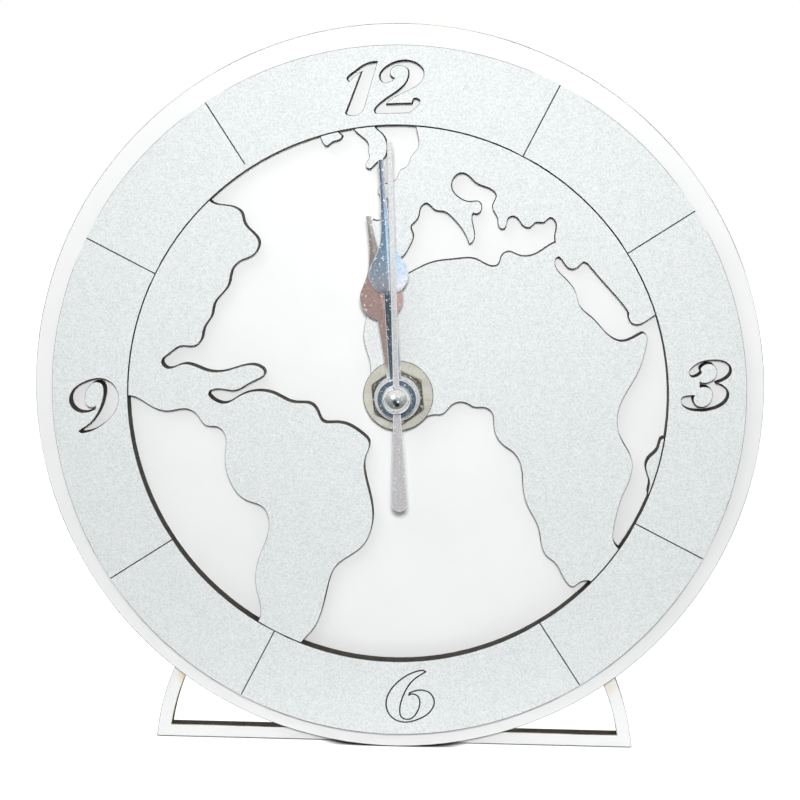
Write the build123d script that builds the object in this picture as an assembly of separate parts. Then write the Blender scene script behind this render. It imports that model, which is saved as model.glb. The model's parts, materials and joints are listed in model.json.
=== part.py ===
from build123d import *
import os
from math import atan2, cos, degrees, hypot, radians, sin, sqrt

# World time clock: a laser-cut map dial on a white disc, an arch stand and a quartz movement.
# Every piece is drawn in the clock's own frame: x to the right, y up and z towards the viewer,
# with its origin on the hand axis, in the middle of the stand's thickness. Sizes are millimetres.

# Sheet layers of the dial
SHEET = 3.0                 # thickness of the disc, the dial and the stand
KERF = 0.15                 # gap that the laser leaves between two pieces of the dial
DISC_RADIUS = 75.0
DISC_AT = (-0.6, -0.38)     # middle of the disc, which the hand axis misses a little
DIAL_MARGIN = 4.0           # white rim that the disc leaves round the dial
RING_WIDTH = 15.7           # ring that carries the hours
DIAL_AT = (-0.5, -0.8)      # middle of the dial
DIAL_TURN = 3.1             # degrees anticlockwise that the dial is glued on askew
COAST_OVERRUN = 2.0         # how far the coasts run past the ring's inner circle, which trims them
NUMERAL_INSET = 0.35        # how far the numerals sit inside the ring's middle
THREE_SLIP = (0.0, 0.3)     # how far two of them are cut off their places
NINE_SLIP = (0.6, 1.1)
ARCS_PER_POINT = 2          # circular arcs that draw each stretch of a coast or a numeral
SCORE_WIDTH = 0.25          # hour lines across the ring
SCORE_DEPTH = 0.6
ELEVEN_STOP = 1.1           # the line at eleven stops this far outside the map

# Stand
STAND_HEADROOM = 1.4        # air between the arch's crown and the movement
STAND_SINK = 5.0            # depth of the arc's centre under the table top
STAND_BAND = 2.8            # width of the arched band
BASE_BAR = 2.6              # height of the bar on the table
STAND_SHIFT = -0.9          # the stand is glued on a little left of the hand axis
STRUT_POST = 4.0            # width of the strut's upright behind the arch
SEAT_GAP = 0.1              # play of the strut's tongue between bar and crown

# Movement case
CASE_DEPTH = 16.0
CASE_CORNER = 3.0
CASE_WALL = 1.3
FRONT_WALL = 1.5
COVER_THICKNESS = 1.5
RUBBER_THICKNESS = 1.0
RUBBER_RADIUS = 10.0
BUSH_RADIUS = 4.0
BUSH_HOLE_PLAY = 0.1        # play of the bush in disc, dial, washers and nut
PARTITION_WALL = 1.2        # wall between the gear room and the battery bay
POST_RADIUS = 1.6

# Dial fixing
WASHER_RADIUS = 7.15
WASHER_THICKNESS = 0.8
NUT_FLATS = 10.2
NUT_THICKNESS = 2.0
NUT_CHAMFER = 0.4
NUT_TURN = 36.0             # degrees that the nut's corners are turned from level
BUSH_PROUD = 0.5            # thread that shows past the nut

# Shafts, inside each other on the hand axis
RUNNING_PLAY = 0.05         # radial clearance of a turning fit
SECONDS_SHAFT = 0.5         # radii
MINUTE_TUBE = 1.7
MINUTE_FOOT = 1.4           # lower end of the minute tube, inside its pinion and the centre wheel
HOUR_TUBE = 2.5
PIVOT_RADIUS = 0.35
STUD_RADIUS = 0.6
MOTION_BOSS = 1.2           # hub of the motion wheel on its stud

# Hands
HAND_GAP = 0.5              # air between the bush, the hands and each other
BLADE_RIDGE = 0.9           # thickness of a blade along its middle
BLADE_EDGE = 0.25           # thickness of the widest blade at its edge
HOUR_LENGTH = 37.0
HOUR_BULB_AT = 20.4
HOUR_BULB_RADIUS = 4.35
HOUR_STEM = 2.8
HOUR_HUB = 4.6
HOUR_NECK = [(1.7, 26.5), (0.9, 30.6)]
MINUTE_LENGTH = 47.8
MINUTE_BULB_AT = 25.0
MINUTE_BULB_RADIUS = 3.95
MINUTE_STEM = 2.4
MINUTE_HUB = 4.0
MINUTE_NECK = [(1.35, 31.2), (0.75, 36.5)]
BLADE_TIP = 1.0             # width of an hour or minute hand's end
BULB_SHOULDER = 30.0        # degrees above the bulb's middle where the neck starts
HUB_THICKNESS = 1.0
SECONDS_LENGTH = 51.3
SECONDS_TAIL = 22.8
SECONDS_STEM = 1.25
SECONDS_TIP = 1.05
SECONDS_TAIL_WIDTH = 3.3
SECONDS_PLATE = 0.35
CAP_FLANGE = 3.0
CAP_RIM = 0.4
CAP_DOME = 2.85
HOUR_REST = 9.4             # degrees anticlockwise of upright in the rest pose
MINUTE_REST = 4.3
SECONDS_REST = 2.0

# Gear train
ADDENDUM = 0.8              # tooth height above and below the pitch circle, in modules
DEDENDUM = 1.1
TIP_SHARE = 0.11            # half width of a tooth at tip and root, as a share of the pitch
ROOT_SHARE = 0.29
WHEEL_WIDTH = 0.8
PINION_OVERLAP = 0.2        # how far a pinion stands past its wheel on each side
MOTION_DISTANCE = 7.2       # distances between meshing axes
THIRD_DISTANCE = 6.12
INTERMEDIATE_DISTANCE = 6.0
ROTOR_DISTANCE = 5.6
MOTION_BEARING = 135.0      # directions of those axes, degrees from +x
KNOB_BEARING = 120.0
THIRD_BEARING = 0.0
INTERMEDIATE_BEARING = 100.0
ROTOR_BEARING = 90.0
HOUR_TEETH = 40
HOUR_DRIVER_TEETH = 10
MOTION_TEETH = 36
MINUTE_DRIVER_TEETH = 12
KNOB_TEETH = 12
CENTRE_TEETH = 60
THIRD_TEETH = 64
SECONDS_TEETH = 40
INTERMEDIATE_TEETH = 48
SMALL_PINION_TEETH = 8            # teeth of the third, seconds, intermediate and rotor pinions
LEVEL_GAP = 0.4             # air between one level of wheels and the next

# Middle plate, motor and circuit
PLATE_THICKNESS = 1.2
PLATE_MARGIN = 1.0          # play of the plate and the cover inside the case
MAGNET_RADIUS = 2.5
MAGNET_LENGTH = 2.0
STATOR_THICKNESS = 0.8
STATOR_GAP = 0.4
STATOR_POLE = 4.1
STATOR_ARM = 3.0
COIL_HEIGHT = 20.0          # coil axis above the hand axis
COIL_LEFT = -1.0            # bobbin's ends
COIL_RIGHT = 17.0
BOBBIN_SIDE = 6.4
BOBBIN_FLANGE = 1.0
BOBBIN_TUBE = 4.2
WINDING_SIDE = 5.6
CORE_OVERHANG = 4.0
BOARD_SIZE = (15.0, 16.0)
BOARD_AT = (16.0, 0.0)
BOARD_THICKNESS = 1.0
CHIP_RADIUS = 2.5
CHIP_THICKNESS = 0.9
CRYSTAL_RADIUS = 1.0
CRYSTAL_LENGTH = 6.0
KNOB_SHAFT = 1.5
KNOB_RADIUS = 4.5
KNOB_THICKNESS = 3.0
KNOB_STANDOFF = 0.3
KNOB_FLUTES = 16
FLUTE_RADIUS = 0.45

# Battery and its contacts
CELL_RADIUS = 7.1
CELL_LENGTH = 50.3          # with its nub
NUB_RADIUS = 2.7
NUB_LENGTH = 1.2
CELL_PLAY = 0.25
CONTACT_SHEET = 0.4
CONTACT_WIDTH = 9.0
CONTACT_BOW = 2.7           # how far the sprung contact stands off its wall

# The case is as wide as the cell and its contacts between two walls
CASE_SIDE = CELL_LENGTH + CONTACT_SHEET + CONTACT_BOW + 2 * CASE_WALL

# Table top under the disc, from the hand axis
TABLE = DISC_AT[1] - DISC_RADIUS

# Circles of the dial and of the stand
DIAL_RADIUS = DISC_RADIUS - DIAL_MARGIN
MAP_RADIUS = DIAL_RADIUS - RING_WIDTH
NUMERAL_RADIUS = DIAL_RADIUS - RING_WIDTH / 2 - NUMERAL_INSET
STAND_RADIUS = STAND_SINK - TABLE - CASE_SIDE / 2 - STAND_HEADROOM

# Heights along the hand axis
STAND_FRONT = SHEET / 2
DISC_FRONT = STAND_FRONT + SHEET
DIAL_FRONT = DISC_FRONT + SHEET
WASHER_FRONT = DIAL_FRONT + WASHER_THICKNESS
NUT_FRONT = WASHER_FRONT + NUT_THICKNESS
BUSH_FRONT = NUT_FRONT + BUSH_PROUD
HOUR_HAND_BACK = BUSH_FRONT + HAND_GAP
MINUTE_HAND_BACK = HOUR_HAND_BACK + HUB_THICKNESS + HAND_GAP
SECONDS_HAND_BACK = MINUTE_HAND_BACK + HUB_THICKNESS + HAND_GAP
SECONDS_HAND_FRONT = SECONDS_HAND_BACK + SECONDS_PLATE
CASE_FRONT = STAND_FRONT - RUBBER_THICKNESS
ROOM_FRONT = CASE_FRONT - FRONT_WALL
CASE_BACK = CASE_FRONT - CASE_DEPTH
ROOM_BACK = CASE_BACK + COVER_THICKNESS
HOUR_LEVEL = ROOM_FRONT - LEVEL_GAP - PINION_OVERLAP          # front face of each wheel
MOTION_LEVEL = HOUR_LEVEL - WHEEL_WIDTH - LEVEL_GAP - PINION_OVERLAP
CENTRE_LEVEL = MOTION_LEVEL - WHEEL_WIDTH - LEVEL_GAP - PINION_OVERLAP
PLATE_FRONT = CENTRE_LEVEL - WHEEL_WIDTH - LEVEL_GAP - PINION_OVERLAP
PLATE_BACK = PLATE_FRONT - PLATE_THICKNESS
THIRD_LEVEL = PLATE_BACK - LEVEL_GAP - PINION_OVERLAP
SECONDS_LEVEL = THIRD_LEVEL - WHEEL_WIDTH - LEVEL_GAP - PINION_OVERLAP
INTERMEDIATE_LEVEL = SECONDS_LEVEL - WHEEL_WIDTH - LEVEL_GAP - PINION_OVERLAP
STATOR_FRONT = THIRD_LEVEL - WHEEL_WIDTH - LEVEL_GAP / 2
STATOR_BACK = STATOR_FRONT - STATOR_THICKNESS
BOARD_FRONT = INTERMEDIATE_LEVEL
BOARD_BACK = BOARD_FRONT - BOARD_THICKNESS
PIVOT_BACK = ROOM_BACK - COVER_THICKNESS / 2                  # pivots end inside the cover

# Heights in the dial's plane, from the hand axis
CASE_HALF = CASE_SIDE / 2
CELL_AT = -CASE_HALF + CASE_WALL + CELL_PLAY + CELL_RADIUS
PARTITION_BOTTOM = CELL_AT + CELL_RADIUS + CELL_PLAY
ROOM_BOTTOM = PARTITION_BOTTOM + PARTITION_WALL
ROOM_HALF = CASE_HALF - CASE_WALL
CELL_DEPTH = ROOM_FRONT - CELL_PLAY - CELL_RADIUS


def polar(radius, angle):
    """Point at a distance and an angle in degrees from the origin."""
    return (radius * cos(radians(angle)), radius * sin(radians(angle)))


def step_from(point, distance, bearing):
    """Point at a distance from another one, in a direction."""
    x, y = polar(distance, bearing)
    return (point[0] + x, point[1] + y)


def bearing_of(start, end):
    """Direction in degrees from one point to another."""
    return degrees(atan2(end[1] - start[1], end[0] - start[0]))


# Axes of the gear train
HUB = (0.0, 0.0)
MOTION_AXIS = step_from(HUB, MOTION_DISTANCE, MOTION_BEARING)
KNOB_AXIS = step_from(MOTION_AXIS, MOTION_DISTANCE, KNOB_BEARING)
THIRD_AXIS = step_from(HUB, THIRD_DISTANCE, THIRD_BEARING)
INTERMEDIATE_AXIS = step_from(HUB, INTERMEDIATE_DISTANCE, INTERMEDIATE_BEARING)
ROTOR_AXIS = step_from(INTERMEDIATE_AXIS, ROTOR_DISTANCE, ROTOR_BEARING)

# Coast lines of the map, each from the ring to the ring. The first and last values are the
# directions of the two ends on the ring in degrees, and the stretches between are smooth curves
# that meet in corners at capes. Points are in percent of the map circle's radius.
ATLANTIC_OF_AMERICA = (129.5, [
    [(-62.2, 74.3), (-57.1, 73.4), (-53.3, 70.7), (-52.6, 67.3), (-49.9, 63.7), (-47.6, 60),
     (-49.5, 55.7), (-54.6, 53.5), (-58.2, 49.9), (-59.7, 44.8), (-65.5, 37.8), (-66.7, 33.6),
     (-69.8, 29.1), (-70.9, 25.3), (-73.1, 23), (-78.5, 23), (-83.2, 20.4), (-86.3, 17),
     (-84.8, 15), (-78.7, 16.1), (-74.9, 15.6), (-69.4, 13.2), (-63.3, 12.8), (-54.2, 14.8),
     (-49.5, 13.7), (-48.1, 11.8), (-52.8, 8.7), (-59.7, 5.6), (-68, 6.1), (-69.4, 5.1),
     (-66.9, 1.8), (-63.3, 0.9), (-57.5, 3.6), (-51, 5), (-45.2, 3.8), (-38, 0.2),
     (-31.3, -0.9), (-29.3, -3.6), (-27.7, -7.2), (-22.4, -8), (-13, -12.7), (-10.7, -15.6),
     (-12.5, -21.7), (-12.8, -28), (-10.8, -39.4), (-11.2, -47.4), (-15.6, -55.3), (-25.9, -62.7),
     (-28, -66.9), (-36.3, -87.3), (-38.7, -89.7)],
], 246.4)
PACIFIC_OF_AMERICA = (235.2, [
    [(-54.8, -79.9), (-55.9, -69.6), (-54.2, -57.9), (-49.7, -44.3), (-51.7, -38.7),
     (-57.9, -35.8), (-62.9, -29.8), (-64.7, -18.1), (-64.6, -10.1), (-66.9, -7.8), (-70.9, -7.2),
     (-74.9, -2.2), (-78.8, -0.5), (-85, -1.1), (-90.8, 0.7), (-96.6, 4.5)],
], 177.8)
ATLANTIC_OF_OLD_WORLD = (83.4, [
    [(12.5, 94.9), (12.3, 91.5), (9.6, 88.2), (7.6, 84.6), (5.4, 83.5), (4, 80.7), (1.1, 79.2),
     (-2.5, 77.8), (-2.9, 75.4), (-0.2, 74.1), (0, 69.8), (-2.5, 66), (-5.4, 66.2)],
    [(-6.7, 63.3), (-6.1, 57), (-3.3, 53.2), (0.7, 51.7), (4.7, 52.3), (7.6, 56.1), (9, 60.2),
     (8.3, 62.9), (11, 66), (12.1, 69.6), (14.3, 71.4), (17.7, 68.7), (20.4, 68.2), (23.9, 65.5),
     (27.5, 60.6), (29.3, 55.9)],
    [(30.9, 57.1), (31.1, 61.5), (31.3, 67.1)],
    [(33.5, 67.1), (34.4, 69.1), (33.5, 70.9), (30.4, 71.1), (27.1, 72.2), (24.1, 75.4),
     (23.9, 78.5), (27.8, 81.7), (30, 80.7), (32.9, 77.8), (38.3, 75.2), (39.8, 73.1),
     (38.3, 69.1), (40, 64.6), (40.3, 61.8), (41.6, 60.8), (42.9, 61.8), (43.8, 64.6),
     (45.9, 65.3), (47.9, 63.5), (49.7, 61.3), (51.7, 61.1), (53.9, 62.7), (56.6, 62.6),
     (59.1, 64.2), (60.7, 63), (60.8, 58.8), (60.6, 55.1)],
    [(57, 53.3), (53.3, 51.2), (47, 51), (43.4, 52.4), (40.9, 51), (39.4, 47.7),
     (37.1, 47.4), (31.8, 50.1), (23.5, 50.5), (16.3, 49.9), (7.2, 46.3), (-0.9, 42.3),
     (-7.2, 36.5), (-9.8, 29.5), (-10.8, 22.6), (-8.9, 13.7), (-9.4, 4.5), (-7.6, -3.6),
     (-1.4, -9.4), (6.9, -9.4), (13.4, -6.3), (17.2, -6.1), (19.9, -3.4), (22.8, -2),
     (25.9, -2.4), (28.6, -4), (32.5, -4.3), (35.3, -6.5), (35.7, -10.8), (36.5, -15.2),
     (39.4, -19), (42.3, -21.2), (45.2, -26.8), (45.6, -34.4), (47.4, -42.7), (50.5, -49.2),
     (51.7, -56.8), (53.5, -61.1), (56.1, -63.3), (61, -71.9),
     (62.9, -73.1), (64.8, -71.8), (67.3, -70.9)],
], 313.8)
INDIAN_OCEAN = (324.5, [
    [(79.6, -58.6), (78.3, -56.1), (78.7, -50.6), (81.9, -39.8), (85.4, -31.8), (85.9, -25.9),
     (82.5, -18.6), (81, -12.7), (81.7, -6.9), (85.7, 0.9), (89.7, 7.8), (92.2, 15.6),
     (92.2, 20.3), (91, 20.8)],
    [(87.9, 19.2), (83.5, 18), (80.3, 19.2), (73.2, 26.8), (68.7, 31.5), (67.5, 36),
     (63.7, 41.8), (60.4, 46.1), (60.4, 48.8), (61.3, 49.9), (63.1, 48.1), (65.8, 45.3),
     (68.7, 46.1), (70.5, 47.6), (73.2, 45.4), (79.3, 37.8), (84.6, 31.1), (86.4, 28.3)],
    [(86.4, 26.1), (87.4, 24.6), (89.5, 24), (91.7, 24.7), (94.3, 26.3)],
], 15.6)
POLAR_CAPE = (102.5, [
    [(-22.1, 94.8), (-20.8, 93.5), (-18.8, 94.8), (-15.6, 95.9), (-15.1, 96.5), (-15.8, 97.7)],
], 98.7)
NORTHERN_ISLAND = (96.2, [
    [(-8.2, 96.6), (-5.7, 93.6), (-5.7, 90.6), (-5.6, 88.4), (-6.8, 86.9), (-6.9, 85.4),
     (-5.8, 84.7), (-2.9, 86.8), (-0.6, 87.9), (0.8, 90.2), (0.9, 93.6), (0.5, 95.1),
     (-0.8, 97.2), (-2, 98.3)],
], 91.5)
SOUTHERN_ISLAND = (348.7, [
    [(96.6, -19.2), (95.5, -22.4), (92.2, -25.7), (91, -29.3), (92.2, -34.7), (91.5, -39.1)],
], 336.2)

# Numerals, each about its own middle: stretches of curve that meet in corners. Points are in
# percent of the ring's width.
ONE = [
    [(-40.1, 8.9), (-43.3, 11.5), (-33.8, 21), (-20.4, 29.3), (-3.5, 32.2)],
    [(-23.6, -25.5)],
    [(-29.3, -31.8), (-45.9, -32.5)],
    [(-47.5, -30.6)],
    [(-24.5, 21)],
    [(-33.1, 15), (-40.1, 8.9)],
]
TWO = [
    [(17.5, 10.2), (8.9, 5.7), (1.3, 6.4), (-1.9, 13.4), (3.8, 22.9), (15.9, 29.9), (31.8, 32.2),
     (47.1, 27.4), (54.8, 16.6), (51.6, 5.7), (35, -5.1), (14, -14.6), (5.1, -21)],
    [(38.2, -21.7)],
    [(43.9, -15.9), (47.8, -18.5), (42, -28), (33.1, -33.8)],
    [(-8.9, -32.8)],
    [(-10.5, -29.3), (-5.1, -21.7), (9.6, -11.5), (25.5, -1.3), (34.4, 11.5), (33.8, 21.7), (26.8, 25.5),
     (17.2, 24.8), (12.1, 19.1), (17.5, 10.2)],
]
THREE = [
    [(-5.1, 17.2), (-6.4, 22.3), (0.6, 27.7), (8.9, 27.4), (14.6, 17.8), (12.1, 9.6), (5.7, 4.8),
     (-7.6, 4.8)],
    [(-7.6, -1.9)],
    [(1.3, -1.9), (7, -5.7), (8.3, -14), (0.6, -26.1), (-10.2, -26.8), (-15.9, -21), (-14.6, -12.1)],
    [(-22.9, -12.1), (-30.6, -14.6), (-31.8, -21), (-26.8, -28), (-16.6, -31.8), (-1.3, -32.8),
     (14, -29.3), (25.5, -21.7), (29, -11.5), (24.8, -3.2), (13.4, 2.9)],
    [(25.5, 7.6), (32.5, 15.3), (31.8, 23.6), (24.2, 30.6), (10.8, 33.1), (-5.1, 31.2), (-16.6, 24.8),
     (-21, 17.2), (-17.8, 12.1), (-10.8, 12.7), (-5.1, 17.2)],
]
NINE = [
    [(-20.1, -35.9), (-11.5, -34.9), (8.9, -25.5), (26.1, -8.9), (32.5, 11.5), (24.8, 28.7), (10.2, 35.4),
     (-8.9, 32.5), (-27.4, 21), (-32.8, 6.4), (-25.5, -5.7), (-14.8, -8.9), (-6.2, -7.7), (0.7, -5.1)],
    [(1.5, -0.9)],
    [(-5.3, -2.7), (-10.4, 0.3), (-12.6, 6.7), (-8.3, 21.7), (1.9, 30.6), (11.5, 28), (13.7, 19.1), (10.2, 3.8),
     (0, -15.3), (-9, -24.4), (-19.5, -30.9), (-23.4, -33.3)],
    [(-20.1, -35.9)],
]


def cylinder(radius, back, front, at=HUB):
    """Solid cylinder along the clock's axis between two heights."""
    solid = Cylinder(radius, front - back, align=(Align.CENTER, Align.CENTER, Align.MIN))
    return Pos(at[0], at[1], back) * solid


def slab(width, height, back, front, at=HUB):
    """Solid block on the clock's axes, centred on a point of the dial's plane."""
    solid = Box(width, height, front - back, align=(Align.CENTER, Align.CENTER, Align.MIN))
    return Pos(at[0], at[1], back) * solid


def sheet(face, back, front):
    """Flat piece cut from sheet, between two heights."""
    return Pos(0, 0, back) * extrude(face, amount=front - back, dir=(0, 0, 1))


def enlarged(stretches, unit):
    """Stretches of points in millimetres, from points in percent of a length."""
    return [[(x * unit / 100, y * unit / 100) for x, y in stretch] for stretch in stretches]


def arcs_along(edge, count):
    """A smooth curve as a chain of circular arcs."""
    stops = [edge @ (step / (2 * count)) for step in range(2 * count + 1)]
    return [ThreePointArc(*stops[first:first + 3]) for first in range(0, 2 * count, 2)]


def curves(stretches, start=None):
    """Edges through stretches of points; each stretch goes on from the end of the one before."""
    edges = []
    for stretch in stretches:
        points = stretch if start is None else [start] + stretch
        if len(points) == 2:
            edges.append(Line(*points))
        else:
            edges += arcs_along(Spline(*points), ARCS_PER_POINT * len(points))
        start = points[-1]
    return edges


def land(*coasts):
    """Face of one piece of the map: its coasts, and the ring's circle between them."""
    reach = MAP_RADIUS + COAST_OVERRUN
    edges = []
    for number, (start, stretches, end) in enumerate(coasts):
        coast = enlarged(stretches, MAP_RADIUS)
        coast[-1].append(polar(reach, end))
        edges += curves(coast, polar(reach, start))
        next_start = coasts[(number + 1) % len(coasts)][0]
        turn = (next_start - end + 180) % 360 - 180
        edges.append(CenterArc((0, 0), reach, end, turn))
    return make_face(edges) & Circle(MAP_RADIUS - KERF)


def numeral(stretches, bearing, slip=(0.0, 0.0), turn=0.0, inset=0.0):
    """Face of one numeral in its place on the ring, or of an inlay that is smaller all round."""
    face = make_face(curves(enlarged(stretches, RING_WIDTH)))
    if inset:
        face = offset(face, amount=-inset, kind=Kind.INTERSECTION)
    place = Pos(*slip) * Pos(*polar(NUMERAL_RADIUS, bearing))
    return place * Rot(0, 0, turn) * face


def on_dial(piece):
    """Turns and shifts a piece of the dial as the whole dial is glued on."""
    return Pos(*DIAL_AT) * Rot(0, 0, DIAL_TURN) * piece


def bush_hole(back, front):
    """Hole that the threaded bush passes through."""
    return cylinder(BUSH_RADIUS + BUSH_HOLE_PLAY, back, front)


def six(inset=0.0):
    """The six is the nine turned upside down."""
    return numeral(NINE, 270, turn=180, inset=inset)


def backing_disc():
    disc = cylinder(DISC_RADIUS, STAND_FRONT, DISC_FRONT, DISC_AT)
    return disc - bush_hole(STAND_FRONT, DISC_FRONT)


def hour_ring():
    ring = Circle(DIAL_RADIUS) - Circle(MAP_RADIUS)
    ring -= numeral(ONE, 90)
    ring -= numeral(TWO, 90)
    ring -= numeral(THREE, 0, THREE_SLIP)
    ring -= numeral(NINE, 180, NINE_SLIP)
    ring -= six()
    solid = sheet(ring, DISC_FRONT, DIAL_FRONT)
    for hour in (1, 2, 4, 5, 7, 8, 10, 11):
        inner = MAP_RADIUS + ELEVEN_STOP if hour == 11 else MAP_RADIUS - KERF
        outer = DIAL_RADIUS + KERF
        line = slab(outer - inner, SCORE_WIDTH, DIAL_FRONT - SCORE_DEPTH, DIAL_FRONT,
                    ((inner + outer) / 2, 0))
        solid -= Rot(0, 0, 90 - hour * 30) * line
    return on_dial(solid)


def six_inlay():
    return on_dial(sheet(six(KERF), DISC_FRONT, DIAL_FRONT))


def map_piece(*coasts):
    return on_dial(sheet(land(*coasts), DISC_FRONT, DIAL_FRONT))


def americas():
    return map_piece(ATLANTIC_OF_AMERICA, PACIFIC_OF_AMERICA)


def old_world():
    piece = map_piece(ATLANTIC_OF_OLD_WORLD, INDIAN_OCEAN)
    return piece - bush_hole(DISC_FRONT, DIAL_FRONT)


def polar_cape():
    return map_piece(POLAR_CAPE)


def northern_island():
    return map_piece(NORTHERN_ISLAND)


def southern_island():
    return map_piece(SOUTHERN_ISLAND)


def above(height, left=-DISC_RADIUS):
    """Large rectangle over a height and right of a line, for trimming the stand."""
    rectangle = Rectangle(2 * DISC_RADIUS, 2 * DISC_RADIUS, align=(Align.MIN, Align.MIN))
    return Pos(left, height) * rectangle


def stand_arch():
    centre = Pos(STAND_SHIFT, TABLE - STAND_SINK)
    outside = centre * Circle(STAND_RADIUS) & above(TABLE)
    inside = centre * Circle(STAND_RADIUS - STAND_BAND) & above(TABLE + BASE_BAR)
    return sheet(outside - inside, -STAND_FRONT, STAND_FRONT)


def rear_strut():
    """Half arch behind the stand, with a tongue between the stand's base bar and crown."""
    centre = Pos(STAND_FRONT, TABLE - STAND_SINK)
    outside = centre * Circle(STAND_RADIUS) & above(TABLE, STAND_FRONT)
    window = above(TABLE + BASE_BAR, STAND_FRONT + STRUT_POST)
    inside = centre * Circle(STAND_RADIUS - STAND_BAND) & window
    tongue_bottom = TABLE + BASE_BAR + SEAT_GAP
    tongue_top = TABLE - STAND_SINK + STAND_RADIUS - STAND_BAND - SEAT_GAP
    tongue = Rectangle(SHEET, tongue_top - tongue_bottom, align=(Align.CENTER, Align.MIN))
    profile = outside - inside + Pos(0, tongue_bottom) * tongue
    upright = Plane(origin=(STAND_SHIFT, 0, 0), x_dir=(0, 0, -1), z_dir=(1, 0, 0))
    return upright.location * sheet(profile, -SHEET / 2, SHEET / 2)


def gear(teeth, distance, partner, front, width, first_tooth, at=HUB):
    """Toothed disc that meshes with a partner's teeth over a distance between axes."""
    module = 2 * distance / (teeth + partner)
    pitch_radius = module * teeth / 2
    root = pitch_radius - DEDENDUM * module
    tip = pitch_radius + ADDENDUM * module
    pitch = 360 / teeth
    outline = []
    for tooth in range(teeth):
        middle = first_tooth + tooth * pitch
        outline.append(polar(root, middle - ROOT_SHARE * pitch))
        outline.append(polar(tip, middle - TIP_SHARE * pitch))
        outline.append(polar(tip, middle + TIP_SHARE * pitch))
        outline.append(polar(root, middle + ROOT_SHARE * pitch))
    face = make_face(Polyline(*outline, close=True))
    return Pos(at[0], at[1]) * sheet(face, front - width, front)


def wheel(teeth, distance, partner, level, own_axis, other_axis):
    """Large gear of a pair, with a gap between two teeth towards the pinion."""
    first_tooth = bearing_of(own_axis, other_axis) + 180 / teeth
    return gear(teeth, distance, partner, level, WHEEL_WIDTH, first_tooth, own_axis)


def pinion(teeth, distance, partner, level, own_axis, other_axis, tooth=0.0):
    """Small gear of a pair, wider than its wheel, with a tooth towards the wheel."""
    first_tooth = bearing_of(own_axis, other_axis) + tooth
    width = WHEEL_WIDTH + 2 * PINION_OVERLAP
    return gear(teeth, distance, partner, level + PINION_OVERLAP, width, first_tooth, own_axis)


def pivot_hole(back, front, at, radius=PIVOT_RADIUS):
    """Bearing hole for a turning shaft."""
    return cylinder(radius + RUNNING_PLAY, back, front, at)


def hour_wheel():
    gear_part = wheel(HOUR_TEETH, MOTION_DISTANCE, HOUR_DRIVER_TEETH, HOUR_LEVEL, HUB, MOTION_AXIS)
    top = HOUR_HAND_BACK + HUB_THICKNESS
    bottom = HOUR_LEVEL - WHEEL_WIDTH
    tube = gear_part + cylinder(HOUR_TUBE, bottom, top)
    return tube - pivot_hole(bottom, top, HUB, MINUTE_TUBE)


def motion_wheel():
    """Wheel and pinion that turn the hour wheel twelve times slower than the minute hand."""
    gears = wheel(MOTION_TEETH, MOTION_DISTANCE, MINUTE_DRIVER_TEETH, MOTION_LEVEL, MOTION_AXIS, HUB)
    gears += pinion(HOUR_DRIVER_TEETH, MOTION_DISTANCE, HOUR_TEETH, HOUR_LEVEL, MOTION_AXIS, HUB)
    bottom = PLATE_FRONT + LEVEL_GAP / 2
    top = HOUR_LEVEL + PINION_OVERLAP
    pinion_back = HOUR_LEVEL - WHEEL_WIDTH - PINION_OVERLAP
    gears += cylinder(MOTION_BOSS, bottom, pinion_back, MOTION_AXIS)
    return gears - pivot_hole(bottom, top, MOTION_AXIS, STUD_RADIUS)


def minute_arbor():
    """Tube of the minute hand, with the pinion that drives the motion wheel."""
    bottom = PLATE_FRONT + LEVEL_GAP / 2
    top = MINUTE_HAND_BACK + HUB_THICKNESS
    arbor = pinion(MINUTE_DRIVER_TEETH, MOTION_DISTANCE, MOTION_TEETH, MOTION_LEVEL, HUB, MOTION_AXIS)
    arbor += cylinder(MINUTE_FOOT, bottom, MOTION_LEVEL)
    arbor += cylinder(MINUTE_TUBE, MOTION_LEVEL + PINION_OVERLAP, top)
    return arbor - pivot_hole(bottom, top, HUB, SECONDS_SHAFT)


def centre_wheel():
    """Wheel that carries the minute arbor round by friction."""
    part = wheel(CENTRE_TEETH, THIRD_DISTANCE, SMALL_PINION_TEETH, CENTRE_LEVEL, HUB, THIRD_AXIS)
    return part - pivot_hole(CENTRE_LEVEL - WHEEL_WIDTH, CENTRE_LEVEL, HUB, MINUTE_FOOT)


def third_wheel():
    part = wheel(THIRD_TEETH, THIRD_DISTANCE, SMALL_PINION_TEETH, THIRD_LEVEL, THIRD_AXIS, HUB)
    part += pinion(SMALL_PINION_TEETH, THIRD_DISTANCE, CENTRE_TEETH, CENTRE_LEVEL, THIRD_AXIS, HUB)
    return part + cylinder(PIVOT_RADIUS, PIVOT_BACK, CENTRE_LEVEL, THIRD_AXIS)


def seconds_wheel():
    part = wheel(SECONDS_TEETH, INTERMEDIATE_DISTANCE, SMALL_PINION_TEETH, SECONDS_LEVEL, HUB,
                 INTERMEDIATE_AXIS)
    part += pinion(SMALL_PINION_TEETH, THIRD_DISTANCE, THIRD_TEETH, THIRD_LEVEL, HUB, THIRD_AXIS)
    return part + cylinder(SECONDS_SHAFT, PIVOT_BACK, SECONDS_HAND_FRONT)


def intermediate_wheel():
    part = wheel(INTERMEDIATE_TEETH, ROTOR_DISTANCE, SMALL_PINION_TEETH, INTERMEDIATE_LEVEL,
                 INTERMEDIATE_AXIS, ROTOR_AXIS)
    part += pinion(SMALL_PINION_TEETH, INTERMEDIATE_DISTANCE, SECONDS_TEETH, SECONDS_LEVEL,
                   INTERMEDIATE_AXIS, HUB)
    return part + cylinder(PIVOT_RADIUS, PIVOT_BACK, PLATE_FRONT, INTERMEDIATE_AXIS)


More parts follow.
